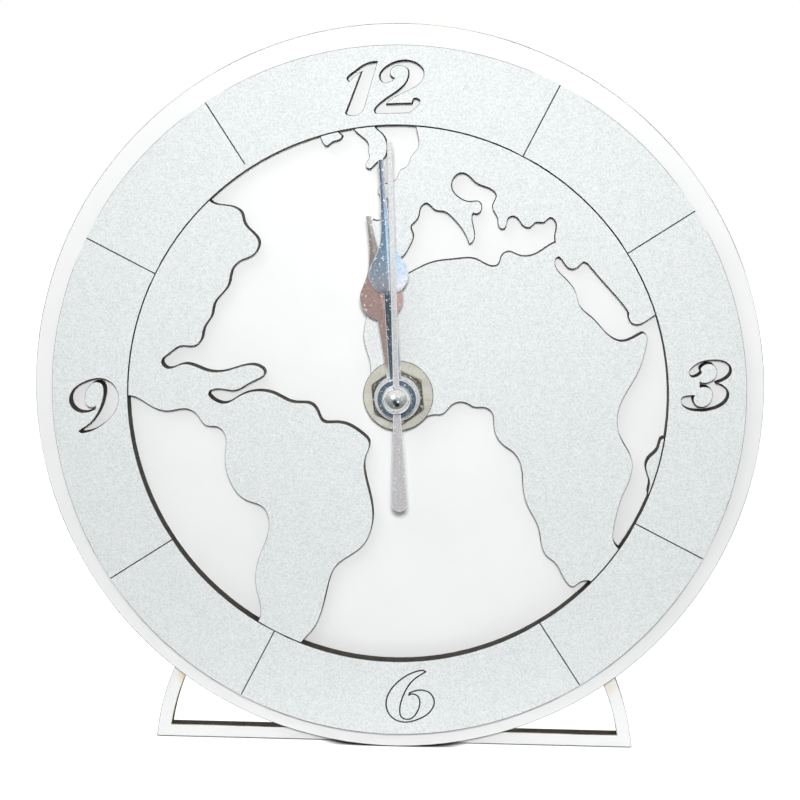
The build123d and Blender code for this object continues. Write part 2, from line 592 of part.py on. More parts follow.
def rotor():
    """Ring magnet on the shaft of the first pinion."""
    middle = (STATOR_FRONT + STATOR_BACK) / 2
    part = pinion(SMALL_PINION_TEETH, ROTOR_DISTANCE, INTERMEDIATE_TEETH, INTERMEDIATE_LEVEL, ROTOR_AXIS,
                  INTERMEDIATE_AXIS)
    part += cylinder(MAGNET_RADIUS, middle - MAGNET_LENGTH / 2, middle + MAGNET_LENGTH / 2, ROTOR_AXIS)
    return part + cylinder(PIVOT_RADIUS, PIVOT_BACK, PLATE_FRONT, ROTOR_AXIS)


def setting_knob():
    """Fluted knob at the back, whose pinion turns the motion wheel."""
    half_pitch = 180 / KNOB_TEETH
    part = pinion(KNOB_TEETH, MOTION_DISTANCE, MOTION_TEETH, MOTION_LEVEL, KNOB_AXIS, MOTION_AXIS,
                  half_pitch)
    knob_front = CASE_BACK - KNOB_STANDOFF
    knob_back = knob_front - KNOB_THICKNESS
    part += cylinder(KNOB_SHAFT, knob_front, MOTION_LEVEL - WHEEL_WIDTH, KNOB_AXIS)
    head = cylinder(KNOB_RADIUS, knob_back, knob_front, KNOB_AXIS)
    for flute in range(KNOB_FLUTES):
        spot = step_from(KNOB_AXIS, KNOB_RADIUS, flute * 360 / KNOB_FLUTES)
        head -= cylinder(FLUTE_RADIUS, knob_back, knob_front, spot)
    part += head
    socket_end = MOTION_LEVEL - WHEEL_WIDTH
    return part - pivot_hole(socket_end, MOTION_LEVEL + PINION_OVERLAP, KNOB_AXIS, STUD_RADIUS)


def blade(length, bulb_at, bulb_radius, stem, neck):
    """Outline of an hour or minute hand that points up: a stem, a round bulb and a long point."""
    half = stem / 2
    bulb_bottom = (half, bulb_at - sqrt(bulb_radius ** 2 - half ** 2))
    bulb_side = (bulb_radius, bulb_at)
    x, y = polar(bulb_radius, BULB_SHOULDER)
    shoulder = (x, bulb_at + y)
    tip = (BLADE_TIP / 2, length)
    leaving = polar(1, BULB_SHOULDER + 90)
    right = Line((half, 0), bulb_bottom) + ThreePointArc(bulb_bottom, bulb_side, shoulder)
    right += Spline(shoulder, *neck, tip, tangents=[leaving, (0, 1)])
    left = mirror(right, about=Plane.YZ)
    ends = [Line((-half, 0), (half, 0)), Line((-BLADE_TIP / 2, length), tip)]
    return make_face(right.edges() + left.edges() + ends)


def ridged(outline, back, widest):
    """Blade with two flanks that rise from its edges to a ridge along its middle."""
    reach = 2 * SECONDS_LENGTH
    slope_end = widest + BLADE_EDGE
    fall = (BLADE_RIDGE - BLADE_EDGE) / widest
    low = BLADE_RIDGE - fall * slope_end
    section = Polyline((-slope_end, 0), (slope_end, 0), (slope_end, low), (0, BLADE_RIDGE),
                       (-slope_end, low), close=True)
    along = Plane(origin=(0, reach / 2, back), x_dir=(1, 0, 0), z_dir=(0, -1, 0))
    roof = along.location * extrude(make_face(section), amount=reach, dir=(0, 0, 1))
    return sheet(outline, back, back + BLADE_RIDGE) & roof


def hour_hand():
    outline = blade(HOUR_LENGTH, HOUR_BULB_AT, HOUR_BULB_RADIUS, HOUR_STEM, HOUR_NECK)
    hand = ridged(outline, HOUR_HAND_BACK, HOUR_BULB_RADIUS)
    hand += cylinder(HOUR_HUB, HOUR_HAND_BACK, HOUR_HAND_BACK + HUB_THICKNESS)
    hand -= cylinder(HOUR_TUBE, HOUR_HAND_BACK, HOUR_HAND_BACK + HUB_THICKNESS)
    return Rot(0, 0, HOUR_REST) * hand


def minute_hand():
    outline = blade(MINUTE_LENGTH, MINUTE_BULB_AT, MINUTE_BULB_RADIUS, MINUTE_STEM, MINUTE_NECK)
    hand = ridged(outline, MINUTE_HAND_BACK, MINUTE_BULB_RADIUS)
    hand += cylinder(MINUTE_HUB, MINUTE_HAND_BACK, MINUTE_HAND_BACK + HUB_THICKNESS)
    hand -= cylinder(MINUTE_TUBE, MINUTE_HAND_BACK, MINUTE_HAND_BACK + HUB_THICKNESS)
    return Rot(0, 0, MINUTE_REST) * hand


def seconds_hand():
    """Flat needle with a paddle-shaped tail."""
    half_tail = SECONDS_TAIL_WIDTH / 2
    tail_start = -SECONDS_TAIL + half_tail
    outline = Polyline((-SECONDS_TIP / 2, SECONDS_LENGTH), (-SECONDS_STEM / 2, 0),
                       (-half_tail, tail_start))
    outline += ThreePointArc((-half_tail, tail_start), (0, -SECONDS_TAIL), (half_tail, tail_start))
    outline += Polyline((half_tail, tail_start), (SECONDS_STEM / 2, 0),
                        (SECONDS_TIP / 2, SECONDS_LENGTH), (-SECONDS_TIP / 2, SECONDS_LENGTH))
    hand = sheet(make_face(outline.edges()), SECONDS_HAND_BACK, SECONDS_HAND_FRONT)
    hand += cylinder(CAP_FLANGE, SECONDS_HAND_BACK, SECONDS_HAND_FRONT)
    hand -= cylinder(SECONDS_SHAFT, SECONDS_HAND_BACK, SECONDS_HAND_FRONT)
    return Rot(0, 0, SECONDS_REST) * hand


def seconds_cap():
    """Polished dome over the end of the seconds shaft."""
    rim_front = SECONDS_HAND_FRONT + CAP_RIM
    dome = Pos(0, 0, rim_front) * Sphere(CAP_DOME)
    keep = cylinder(CAP_FLANGE, rim_front, rim_front + CAP_DOME)
    return cylinder(CAP_FLANGE, SECONDS_HAND_FRONT, rim_front) + (dome & keep)


def dial_washer():
    washer = cylinder(WASHER_RADIUS, DIAL_FRONT, WASHER_FRONT)
    return washer - bush_hole(DIAL_FRONT, WASHER_FRONT)


def hex_nut():
    """Hexagon nut with its front corners turned off."""
    corner = NUT_FLATS / sqrt(3)
    nut = sheet(Rot(0, 0, NUT_TURN) * RegularPolygon(corner, 6), WASHER_FRONT, NUT_FRONT)
    cone_bottom = corner + NUT_CHAMFER
    cone = Cone(cone_bottom + NUT_THICKNESS, corner - NUT_CHAMFER, NUT_THICKNESS + 2 * NUT_CHAMFER,
                align=(Align.CENTER, Align.CENTER, Align.MAX))
    nut &= Pos(0, 0, NUT_FRONT) * cone
    return nut - bush_hole(WASHER_FRONT, NUT_FRONT)


def rubber_washer():
    washer = cylinder(RUBBER_RADIUS, CASE_FRONT, STAND_FRONT)
    return washer - bush_hole(CASE_FRONT, STAND_FRONT)


def threaded_bush():
    """Tube that holds the movement in the disc and guides the hour tube."""
    bush = cylinder(BUSH_RADIUS, ROOM_FRONT, BUSH_FRONT)
    return bush - pivot_hole(ROOM_FRONT, BUSH_FRONT, HUB, HOUR_TUBE)


def plate_posts():
    """Corners of the gear room where the posts carry the middle plate."""
    side = ROOM_HALF - PLATE_MARGIN - 2 * POST_RADIUS
    low = ROOM_BOTTOM + PLATE_MARGIN + 2 * POST_RADIUS
    return [(-side, low), (side, low), (-side, side), (side, side)]


def movement_case():
    """Moulded case: front wall, four sides, and a partition over the open battery bay."""
    case = sheet(RectangleRounded(CASE_SIDE, CASE_SIDE, CASE_CORNER), CASE_BACK, CASE_FRONT)
    room_height = ROOM_HALF - ROOM_BOTTOM
    room_middle = (ROOM_HALF + ROOM_BOTTOM) / 2
    case -= slab(2 * ROOM_HALF, room_height, CASE_BACK, ROOM_FRONT, (0, room_middle))
    bay_height = PARTITION_BOTTOM + ROOM_HALF
    bay_middle = (PARTITION_BOTTOM - ROOM_HALF) / 2
    case -= slab(2 * ROOM_HALF, bay_height, CASE_BACK, ROOM_FRONT, (0, bay_middle))
    for spot in plate_posts():
        case += cylinder(POST_RADIUS, PLATE_FRONT, ROOM_FRONT, spot)
    stud_end = MOTION_LEVEL - WHEEL_WIDTH + LEVEL_GAP
    case += cylinder(STUD_RADIUS, stud_end, ROOM_FRONT, MOTION_AXIS)
    case += cylinder(STUD_RADIUS, stud_end, ROOM_FRONT, KNOB_AXIS)
    return case - cylinder(BUSH_RADIUS, ROOM_FRONT, CASE_FRONT)


def movement_cover():
    """Lid over the gear room, with a bearing for each pivot and a hole for the knob."""
    width = 2 * ROOM_HALF - 2 * SEAT_GAP
    height = ROOM_HALF - ROOM_BOTTOM - 2 * SEAT_GAP
    middle = (ROOM_HALF + ROOM_BOTTOM) / 2
    cover = slab(width, height, CASE_BACK, ROOM_BACK, (0, middle))
    for axis in (THIRD_AXIS, INTERMEDIATE_AXIS, ROTOR_AXIS):
        cover -= pivot_hole(PIVOT_BACK, ROOM_BACK, axis)
    cover -= pivot_hole(PIVOT_BACK, ROOM_BACK, HUB, SECONDS_SHAFT)
    return cover - pivot_hole(CASE_BACK, ROOM_BACK, KNOB_AXIS, KNOB_SHAFT)


def coil_span():
    """Middle and length of the bobbin."""
    return (COIL_LEFT + COIL_RIGHT) / 2, COIL_RIGHT - COIL_LEFT


def stator_feet():
    """Ends of the stator's two arms, where it rests on the middle plate."""
    overhang = CORE_OVERHANG - STATOR_ARM / 2
    return [(COIL_LEFT - overhang, COIL_HEIGHT), (COIL_RIGHT + overhang, COIL_HEIGHT)]


def board_feet():
    """Outer corners of the circuit board, where it rests on the middle plate."""
    x = BOARD_AT[0] + BOARD_SIZE[0] / 2 - POST_RADIUS
    y = BOARD_SIZE[1] / 2 - POST_RADIUS
    return [(x, BOARD_AT[1] - y), (x, BOARD_AT[1] + y)]


def middle_plate():
    """Plate between the motion work and the going train, with a window for the coil."""
    width = 2 * (ROOM_HALF - PLATE_MARGIN)
    height = ROOM_HALF - ROOM_BOTTOM - 2 * PLATE_MARGIN
    middle = (ROOM_HALF + ROOM_BOTTOM) / 2
    plate = slab(width, height, PLATE_BACK, PLATE_FRONT, (0, middle))
    coil_middle, coil_length = coil_span()
    window = 2 * LEVEL_GAP
    plate -= slab(coil_length + window, BOBBIN_SIDE + window, PLATE_BACK, PLATE_FRONT,
                  (coil_middle, COIL_HEIGHT))
    for spot in stator_feet():
        plate += cylinder(STATOR_ARM / 2, STATOR_FRONT, PLATE_BACK, spot)
    for spot in board_feet():
        plate += cylinder(POST_RADIUS, BOARD_FRONT, PLATE_BACK, spot)
    for axis in (THIRD_AXIS, INTERMEDIATE_AXIS, ROTOR_AXIS):
        plate -= pivot_hole(PLATE_BACK, PLATE_FRONT, axis)
    plate -= pivot_hole(PLATE_BACK, PLATE_FRONT, HUB, SECONDS_SHAFT)
    return plate - pivot_hole(PLATE_BACK, PLATE_FRONT, KNOB_AXIS, KNOB_SHAFT)


def bar_between(start, end, width):
    """Flat bar with round ends between two points."""
    x, y = (start[0] + end[0]) / 2, (start[1] + end[1]) / 2
    bar = SlotCenterToCenter(hypot(end[0] - start[0], end[1] - start[1]), width)
    return Pos(x, y) * Rot(0, 0, bearing_of(start, end)) * bar


def stator():
    """Iron plate round the rotor, with one arm to each end of the coil."""
    left_foot, right_foot = stator_feet()
    elbow = (right_foot[0], ROTOR_AXIS[1])
    plate = Pos(*ROTOR_AXIS) * Circle(STATOR_POLE)
    plate += bar_between(ROTOR_AXIS, left_foot, STATOR_ARM)
    plate += bar_between(ROTOR_AXIS, elbow, STATOR_ARM)
    plate += bar_between(elbow, right_foot, STATOR_ARM)
    plate -= Pos(*ROTOR_AXIS) * Circle(MAGNET_RADIUS + STATOR_GAP)
    return sheet(plate, STATOR_BACK, STATOR_FRONT)


def coil_core():
    """Iron strip through the coil that closes the stator."""
    strip = bar_between(*stator_feet(), STATOR_ARM)
    return sheet(strip, STATOR_BACK - STATOR_THICKNESS, STATOR_BACK)


def coil_tube(side, left, right):
    """Square tube round the core, between two places along the coil."""
    height = STATOR_BACK - STATOR_THICKNESS / 2
    tube = slab(right - left, side, height - side / 2, height + side / 2,
                ((left + right) / 2, COIL_HEIGHT))
    return tube


def coil_bobbin():
    """Plastic spool with a flange at each end and a slot for the core."""
    spool = coil_tube(BOBBIN_TUBE, COIL_LEFT, COIL_RIGHT)
    spool += coil_tube(BOBBIN_SIDE, COIL_LEFT, COIL_LEFT + BOBBIN_FLANGE)
    spool += coil_tube(BOBBIN_SIDE, COIL_RIGHT - BOBBIN_FLANGE, COIL_RIGHT)
    middle, length = coil_span()
    return spool - slab(length, STATOR_ARM, STATOR_BACK - STATOR_THICKNESS, STATOR_BACK,
                        (middle, COIL_HEIGHT))


def coil_winding():
    left, right = COIL_LEFT + BOBBIN_FLANGE, COIL_RIGHT - BOBBIN_FLANGE
    return coil_tube(WINDING_SIDE, left, right) - coil_tube(BOBBIN_TUBE, left, right)


def circuit_board():
    return slab(*BOARD_SIZE, BOARD_BACK, BOARD_FRONT, BOARD_AT)


def clock_chip():
    """Round drop of resin over the clock's chip."""
    spot = (BOARD_AT[0] - BOARD_SIZE[0] / 4, BOARD_AT[1])
    return cylinder(CHIP_RADIUS, BOARD_BACK - CHIP_THICKNESS, BOARD_BACK, spot)


def quartz_crystal():
    """Small can that lies on the circuit board."""
    can = Rot(90, 0, 0) * Cylinder(CRYSTAL_RADIUS, CRYSTAL_LENGTH)
    return Pos(BOARD_AT[0] + BOARD_SIZE[0] / 4, BOARD_AT[1], BOARD_FRONT + CRYSTAL_RADIUS) * can


def battery():
    """Cell lying across the bay, with its nub to the right."""
    nub_end = ROOM_HALF - CONTACT_SHEET
    barrel_length = CELL_LENGTH - NUB_LENGTH
    barrel = Rot(0, 90, 0) * Cylinder(CELL_RADIUS, barrel_length)
    nub = Rot(0, 90, 0) * Cylinder(NUB_RADIUS, NUB_LENGTH)
    cell = Pos(nub_end - NUB_LENGTH - barrel_length / 2) * barrel
    cell += Pos(nub_end - NUB_LENGTH / 2) * nub
    return Pos(0, CELL_AT, CELL_DEPTH) * cell


def positive_contact():
    """Leaf on the bay's right wall that the cell's nub presses on."""
    return slab(CONTACT_SHEET, CONTACT_WIDTH, CELL_DEPTH - CONTACT_WIDTH / 2,
                CELL_DEPTH + CONTACT_WIDTH / 2, (ROOM_HALF - CONTACT_SHEET / 2, CELL_AT))


def negative_contact():
    """Bowed leaf between the bay's left wall and the cell's flat end."""
    wall = -ROOM_HALF
    crest = wall + CONTACT_BOW
    half = CONTACT_WIDTH / 2
    outer = ThreePointArc((wall, -half), (crest, 0), (wall, half))
    inner = ThreePointArc((wall, half - CONTACT_SHEET), (crest - CONTACT_SHEET, 0),
                          (wall, CONTACT_SHEET - half))
    foot = Line((wall, half), (wall, half - CONTACT_SHEET))
    other_foot = Line((wall, CONTACT_SHEET - half), (wall, -half))
    leaf = make_face([outer, foot, inner, other_foot])
    return Pos(0, CELL_AT, CELL_DEPTH) * sheet(leaf, -half, half)


PIECES = [
    backing_disc, hour_ring, six_inlay, americas, old_world, polar_cape, northern_island,
    southern_island, stand_arch, rear_strut, dial_washer, hex_nut, rubber_washer, threaded_bush,
    movement_case, movement_cover, middle_plate, stator, coil_core, coil_bobbin, coil_winding,
    circuit_board, clock_chip, quartz_crystal, battery, positive_contact, negative_contact,
    hour_hand, hour_wheel, minute_hand, minute_arbor, motion_wheel, setting_knob,
    seconds_hand, seconds_cap, seconds_wheel, third_wheel, centre_wheel, intermediate_wheel, rotor,
]

# The finished part stands on the table at z = 0, upright, and faces along -y.
STANDING = Plane(origin=(0, 0, -TABLE), x_dir=(1, 0, 0), z_dir=(0, -1, 0))

os.makedirs("parts", exist_ok=True)
for piece in PIECES:
    export_step(STANDING.location * piece(), f"parts/{piece.__name__}.step")
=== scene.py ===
import json
from math import cos, pi, radians

import bmesh
import bpy
from mathutils import Euler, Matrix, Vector


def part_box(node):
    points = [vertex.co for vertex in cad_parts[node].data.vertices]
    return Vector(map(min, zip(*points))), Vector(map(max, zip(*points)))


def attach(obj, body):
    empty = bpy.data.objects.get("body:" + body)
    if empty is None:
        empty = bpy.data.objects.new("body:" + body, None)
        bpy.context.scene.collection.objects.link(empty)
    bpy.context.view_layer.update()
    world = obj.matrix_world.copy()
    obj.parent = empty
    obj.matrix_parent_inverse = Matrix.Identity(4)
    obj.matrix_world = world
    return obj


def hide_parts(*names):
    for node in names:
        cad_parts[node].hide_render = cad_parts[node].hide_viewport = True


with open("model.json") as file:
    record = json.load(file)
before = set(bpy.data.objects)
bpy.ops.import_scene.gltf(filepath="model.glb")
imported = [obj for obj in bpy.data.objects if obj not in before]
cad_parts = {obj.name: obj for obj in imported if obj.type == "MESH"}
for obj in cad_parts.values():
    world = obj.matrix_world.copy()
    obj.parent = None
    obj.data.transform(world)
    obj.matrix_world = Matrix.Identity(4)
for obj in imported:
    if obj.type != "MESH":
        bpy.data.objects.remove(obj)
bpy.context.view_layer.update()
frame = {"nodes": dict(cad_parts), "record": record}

# Camera, read from the photograph
CAMERA_AT = (0.0176, -0.3545, 0.12285)
CAMERA_TURN = (82.062, -0.478, 2.913)    # degrees
CAMERA_NEAR = 0.01                       # nothing closer than this shows
SENSOR_WIDTH = 36.0                      # millimetres, as the lens
LENS = 77.36

# Laser-cut boards, with sizes in metres
ACROSS_X = 0                 # axis along which a board is thin
ACROSS_Y = 1
FACE_SLOT = 0                # materials of a board's faces, of its walls and of its singed edges
WALL_SLOT = 1
EDGE_SLOT = 2
WELD = 1e-6                  # points closer than this are one point
SPOT_DIGITS = 7              # decimals to which two points in one place agree
FLAT_FACE = 0.999            # share of a normal along the thin axis above which a face lies flat
UPRIGHT_FACE = 0.02          # and below which it is a wall
LOWEST_WALL = 0.001          # cut walls lower than this are scored lines and stay sharp
SHARPEST_MITRE = 0.5         # keeps the mitre of a sharp corner within twice the width
SILVER_SINGE = 0.00008       # slope along the front of a cut in the silver board
WHITE_SINGE = 0.00012        # the same in the white board
CUT_LEAN = 0.00009           # how far a cut in the silver board is narrower at its foot
YELLOWED = (0.70, 0.64, 0.47)
SCORCHED = (0.06, 0.052, 0.04)
# Painted shade: dark colours for the singed line where it faces down, paler ones for the stand.
UNDERSIDE_SHADE = ((0.05, 0.045, 0.035), (0.12, 0.105, 0.085))
LIGHT_UNDERSIDE_SHADE = ((0.55, 0.52, 0.46), (0.68, 0.65, 0.58))

# Brown patches on the stand beside the disc, each with its place and strength
BROWN_PATCHES = (((-0.0454, -0.0015, 0.0131), 0.55), ((0.0443, -0.0015, 0.0127), 0.28))
BROWN_PATCH_REACH = 0.0022

# Rounded edges, in metres and degrees
METAL_EDGE = 0.00012
HAND_EDGE = 0.00016          # rounded edge round each hand, coloured as a painted highlight line
PLASTIC_EDGE = 0.0003
ROUNDED_SLOT = 1             # material of the rounded edges
EDGE_STEPS = 2               # facets across a rounded edge
ROUND_PROFILE = 0.5          # makes a bevel an arc
ONE_PLANE = 0.5              # faces that meet at less than this angle are joined
SHARP = 35.0                 # edges with more than this angle are rounded
HAND_CREASE = 7.0            # angle at which two facets of a hand meet in a crease
CREASE = 28.0                # the same for other pieces

# Painted reflections, highlights and shade on the hands' plating, each colour at a height above the hand
# axis
HUB_HEIGHT = 0.07538         # height of that axis
PAINTED_LIGHT_REACH = 0.05            # height over which the painted reflections, light and shade are given
MINUTE_PAINTED_REFLECTIONS = [(0.005, (0.34, 0.43, 0.52)), (0.007, (0.24, 0.33, 0.37)), (0.0205, (0.20, 0.27, 0.30)),
                (0.0225, (0.92, 0.89, 0.96)), (0.028, (0.62, 0.82, 0.98)), (0.034, (0.48, 0.68, 0.84)),
                (0.040, (0.46, 0.55, 0.66)), (0.047, (0.36, 0.40, 0.46))]
HOUR_PAINTED_REFLECTIONS = [(0.005, (1.0, 1.0, 1.0)), (0.007, (0.60, 0.45, 0.42)), (0.023, (0.63, 0.43, 0.40)),
              (0.026, (0.48, 0.43, 0.40)), (0.031, (0.42, 0.36, 0.33)), (0.036, (0.62, 0.60, 0.56))]
SECONDS_PAINTED_LIGHT = [(0.0, (0.79, 0.76, 0.78)), (0.020, (0.82, 0.81, 0.82)), (0.030, (1.0, 1.0, 1.0))]

# Other metal
SPECKS = 0.64                # noise level at which bright specks begin
MINUTE_SPECKS = 0.625
HOUR_SPECKS = 0.66
SPECK_BLEND = 0.08           # stretch of the noise over which a speck comes in
SPECK_COVER = 0.9            # how much of the plating a speck hides
SPECK_METAL = 0.3            # how much of the plating's metal look a speck keeps
BRIGHT_BRASS = (0.78, 0.62, 0.32)
THREAD_PITCH = 0.00075
WIRE_PITCH = 0.0002
WAVE_TURNS = 20.0            # how many radians a wave texture of scale 1 turns in a metre

# Plastic, with the noise scale of its texture
MOULD_TEXTURE = 1400.0
CHIP_TEXTURE = 300.0

# Print along the battery, as shares of its length
PRINT_START = 0.025
COPPER_START = 0.74
PRINT_END = 0.955

# Floor
FLOOR_GLOW = 1.6             # what it shows to the camera
FLOOR_GLOW_SHARE = 0.6
FLOOR_MIRROR_SHARE = 0.15    # how much of that glow polished metal mirrors
CONTACT_SHADE = 0.0018       # how far from the object the floor darkens
FLOOR_LEVEL = -0.0001        # just under the object
FLOOR_FRONT = -0.045
FLOOR_REACH = 4.0

# Light, with each lamp's place, the spot that it points at, its size, its power and its beam in degrees
AMBIENT = 0.12               # even light from all round
WHITE_LIGHT = (1.0, 1.0, 1.0, 1.0)
LAMPS = {
    "key": ((0.022, -0.45, 0.19), (0.0, 0.0, 0.14), 0.06, 0.755, 120.0),
    "top": ((-0.22, -0.45, 0.5), (0.0, 0.0, 0.1), 0.5, 0.7, 180.0),
    "back": ((0.4, 1.2, 0.8), (0.0, 0.0, 0.08), 0.8, 13.0, 180.0),
}

# Room that polished metal mirrors, with the direction of each patch and the degrees to its rim and core
ROOM = 1.0                                          # brightness
ROOM_FOOT = -0.5                                    # slopes between which the walls grow lighter
ROOM_TOP = 0.7
DARK_ROOM = ((-0.16, -0.978, -0.13), 25.0, 4.0)     # an unlit stretch in front of the clock
READER = ((0.165, -0.85, -0.5), 22.0, 13.0)         # the reader, a dark spot in the dome
BRIGHT_WALL = ((0.26, -0.96, -0.08), 12.0, 3.0)     # right of the reader
BRIGHT_WALL_LEVEL = 0.95
WINDOW = ((-0.42, -0.74, 0.52), 20.0, 14.0)         # high on the left
WINDOW_LEVEL = 0.9

DARK = (0.0, 0.0, 0.0)
UNCHANGED = (1.0, 1.0, 1.0)  # leaves the colour that it multiplies as it is


def new_material(name):
    """Material with its tree and its Principled shader."""
    made = bpy.data.materials.new(name)
    made.use_nodes = True
    return made, made.node_tree, made.node_tree.nodes["Principled BSDF"]


def feed(tree, source, socket):
    """Gives a socket an output of another node, or a plain number or colour."""
    if isinstance(source, bpy.types.NodeSocket):
        tree.links.new(source, socket)
    else:
        socket.default_value = source


def place_on_object(tree, stretch=(1.0, 1.0, 1.0)):
    """The object's own coordinates, stretched along an axis where that is asked."""
    place = tree.nodes.new("ShaderNodeTexCoord")
    stretched = tree.nodes.new("ShaderNodeMapping")
    stretched.inputs["Scale"].default_value = stretch
    tree.links.new(place.outputs["Object"], stretched.inputs["Vector"])
    return stretched.outputs["Vector"]


def coordinate(tree, vector, axis):
    """One coordinate of a vector."""
    parts = tree.nodes.new("ShaderNodeSeparateXYZ")
    tree.links.new(vector, parts.inputs["Vector"])
    return parts.outputs[axis]


def grain(tree, scale, detail, stretch=(1.0, 1.0, 1.0)):
    """Noise over the object's own coordinates."""
    noise = tree.nodes.new("ShaderNodeTexNoise")
    noise.inputs["Scale"].default_value = scale
    noise.inputs["Detail"].default_value = detail
    tree.links.new(place_on_object(tree, stretch), noise.inputs["Vector"])
    return noise.outputs["Fac"]


def bands(tree, axis, pitch):
    """Even waves along one axis, with a pitch in metres."""
    wave = tree.nodes.new("ShaderNodeTexWave")
    wave.bands_direction = axis
    wave.inputs["Scale"].default_value = 2 * pi / (WAVE_TURNS * pitch)
    tree.links.new(place_on_object(tree), wave.inputs["Vector"])
    return wave.outputs["Fac"]


def shades(tree, factor, stops, step=False):
    """Colours along a factor, each with its place, blended or in steps."""
    ramp = tree.nodes.new("ShaderNodeValToRGB")
    if step:
        ramp.color_ramp.interpolation = "CONSTANT"
    while len(ramp.color_ramp.elements) < len(stops):
        ramp.color_ramp.elements.new(0.5)
    for element, (place, colour) in zip(ramp.color_ramp.elements, stops):
        element.position = place
        element.color = (*colour, 1.0)
    tree.links.new(factor, ramp.inputs["Fac"])
    return ramp.outputs["Color"]


def blended(tree, factor, first, second, kind="MIX"):
    """Mix of two colours by a factor, each of them an output or a plain value."""
    mix = tree.nodes.new("ShaderNodeMix")
    mix.data_type = "RGBA"
    mix.blend_type = kind
    feed(tree, factor, mix.inputs["Factor"])
    feed(tree, first, mix.inputs["A"])
    feed(tree, second, mix.inputs["B"])
    return mix.outputs["Result"]


def multiplied(tree, first, second):
    """Product of two colours."""
    return blended(tree, 1.0, first, second, "MULTIPLY")


def spread(tree, factor, low, high, start=0.3, end=0.7):
    """Value between two limits, from a stretch of another value."""
    limits = tree.nodes.new("ShaderNodeMapRange")
    limits.inputs["From Min"].default_value = start
    limits.inputs["From Max"].default_value = end
    limits.inputs["To Min"].default_value = low
    limits.inputs["To Max"].default_value = high
    tree.links.new(factor, limits.inputs["Value"])
    return limits.outputs["Result"]


def roughen(tree, shader, factor, low, high):
    """Roughness of a shader that varies between two limits."""
    tree.links.new(spread(tree, factor, low, high), shader.inputs["Roughness"])


def relief(tree, shader, height, distance, strength):
    """Bump on a shader from a height, over a distance in metres."""
    bump = tree.nodes.new("ShaderNodeBump")
    bump.inputs["Strength"].default_value = strength
    bump.inputs["Distance"].default_value = distance
    tree.links.new(height, bump.inputs["Height"])
    tree.links.new(bump.outputs["Normal"], shader.inputs["Normal"])


def silver_lacquer():
    """Silver lacquer with fine coloured sparkle over the board's faint upright grain."""
    made, tree, shader = new_material("silver_lacquer")
    flakes = grain(tree, scale=4200.0, detail=1.0)
    hue = grain(tree, scale=3100.0, detail=0.0)
    cloud = grain(tree, scale=420.0, detail=3.0, stretch=(1.0, 1.0, 0.35))
    fine = shades(tree, flakes, [(0.30, (0.60, 0.64, 0.64)), (0.50, (0.83, 0.87, 0.87)),
                                 (0.68, (1.0, 1.0, 1.0))])
    tint = shades(tree, hue, [(0.35, (0.70, 0.88, 0.88)), (0.65, (0.96, 0.86, 0.89))])
    broad = shades(tree, cloud, [(0.30, (0.80, 0.84, 0.83)), (0.70, (0.88, 0.91, 0.91))])
    colour = blended(tree, 0.6, blended(tree, 0.4, broad, tint), fine)
    tree.links.new(colour, shader.inputs["Base Color"])
    roughen(tree, shader, flakes, 0.50, 0.38)
    shader.inputs["Metallic"].default_value = 0.1
    shader.inputs["Specular IOR Level"].default_value = 0.3
    relief(tree, shader, flakes, distance=0.000015, strength=0.3)
    return made


def brown_patched(tree, colour, spot, strength):
    """Colour with a brown patch that fades out round a spot."""
    away = tree.nodes.new("ShaderNodeVectorMath")
    away.operation = "DISTANCE"
    away.inputs[1].default_value = spot
    tree.links.new(place_on_object(tree), away.inputs[0])
    share = spread(tree, away.outputs["Value"], strength, 0.0, 0.0, BROWN_PATCH_REACH)
    uneven = grain(tree, scale=900.0, detail=2.0)
    patch_brown = shades(tree, uneven, [(0.3, (0.78, 0.49, 0.10)), (0.7, (0.88, 0.59, 0.18))])
    return blended(tree, share, colour, patch_brown)


def white_lacquer(name, patch_spots=()):
    """White lacquer, a little uneven, with brown patches where they are asked."""
    made, tree, shader = new_material(name)
    cloud = grain(tree, scale=90.0, detail=3.0)
    peel = grain(tree, scale=1500.0, detail=1.0)
    colour = shades(tree, cloud, [(0.3, (0.92, 0.935, 0.93)), (0.7, (0.95, 0.96, 0.955))])
    for spot, strength in patch_spots:
        colour = brown_patched(tree, colour, spot, strength)
    tree.links.new(colour, shader.inputs["Base Color"])
    roughen(tree, shader, peel, 0.30, 0.42)
    relief(tree, shader, peel, distance=0.00001, strength=0.3)
    return made


def burnt_wall():
    """Cut edge that the laser has burnt, with the marks of the beam across the board."""
    made, tree, shader = new_material("burnt_wall")
    beam = grain(tree, scale=1800.0, detail=2.0, stretch=(1.0, 0.12, 1.0))
    soot_and_shade = grain(tree, scale=500.0, detail=3.0)
    dark = shades(tree, beam, [(0.30, (0.012, 0.011, 0.009)), (0.70, (0.036, 0.030, 0.023))])
    brown = shades(tree, beam, [(0.30, (0.026, 0.021, 0.014)), (0.70, (0.070, 0.053, 0.034))])
    share = spread(tree, soot_and_shade, 0.0, 1.0, start=0.40, end=0.70)
    tree.links.new(blended(tree, share, dark, brown), shader.inputs["Base Color"])
    roughen(tree, shader, soot_and_shade, 0.70, 0.90)
    relief(tree, shader, beam, distance=0.00005, strength=0.6)
    return made


def singed_edge(name, pale, deep, soot_and_shade):
    """Narrow line along a cut where the lacquer has yellowed, with painted shade where it faces down."""
    made, tree, shader = new_material(name)
    uneven = grain(tree, scale=60.0, detail=3.0)
    yellow = shades(tree, uneven, [(0.40, deep), (0.62, pale)])
    # Painted shade: darker colour on the slopes that face down.
    shaded_below = shades(tree, uneven, [(0.35, soot_and_shade[0]), (0.65, soot_and_shade[1])])
    lie = tree.nodes.new("ShaderNodeNewGeometry")
    upwards = coordinate(tree, lie.outputs["Normal"], "Z")
    share = spread(tree, upwards, 1.0, 0.0, start=-0.7, end=-0.3)
    tree.links.new(blended(tree, share, yellow, shaded_below), shader.inputs["Base Color"])
    roughen(tree, shader, uneven, 0.45, 0.65)
    return made


